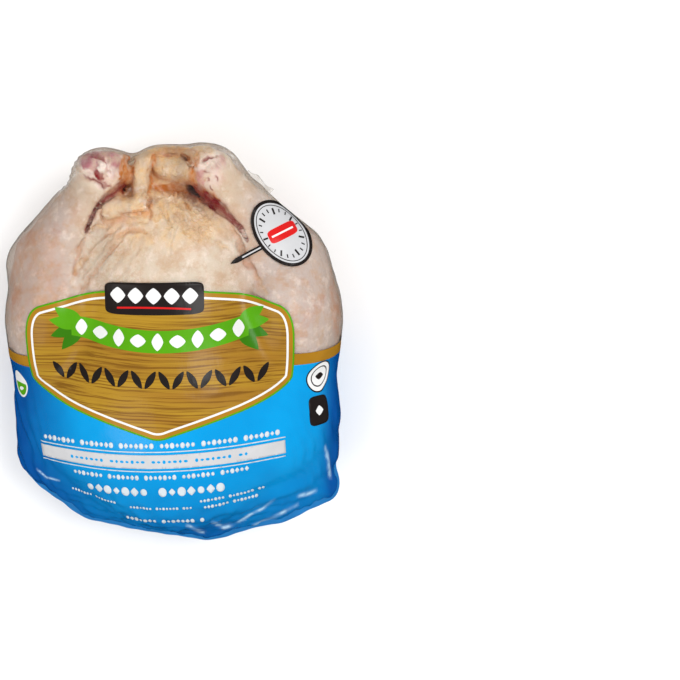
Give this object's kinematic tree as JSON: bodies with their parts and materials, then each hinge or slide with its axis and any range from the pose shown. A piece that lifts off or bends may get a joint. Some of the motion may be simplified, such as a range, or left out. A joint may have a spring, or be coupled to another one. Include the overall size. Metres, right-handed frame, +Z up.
{
  "type": "whole raw chicken in a sealed bag",
  "caption": "Whole raw chicken lying on its back in a tight sealed shrink bag, legs tucked together, clear film above and printed film round the neck end.",
  "frame": {"origin": "centre of the bounding box at the surface the pack lies on", "axes": "+Z up through the breast, +Y from the neck end towards the knuckles of the legs, +X to the right seen from above with the legs away"},
  "size_m": [0.1932, 0.2396, 0.1183],
  "materials": {
    "film": "clear shrink film drawn tight over raw skin, printed round the neck end",
    "skin": "moist raw poultry skin with follicle dimples and fat folds",
    "print": "opaque print on the inside of glossy film"
  },
  "bodies": {
    "root": {"bagged_chicken": "film"}
  },
  "joints": []
}
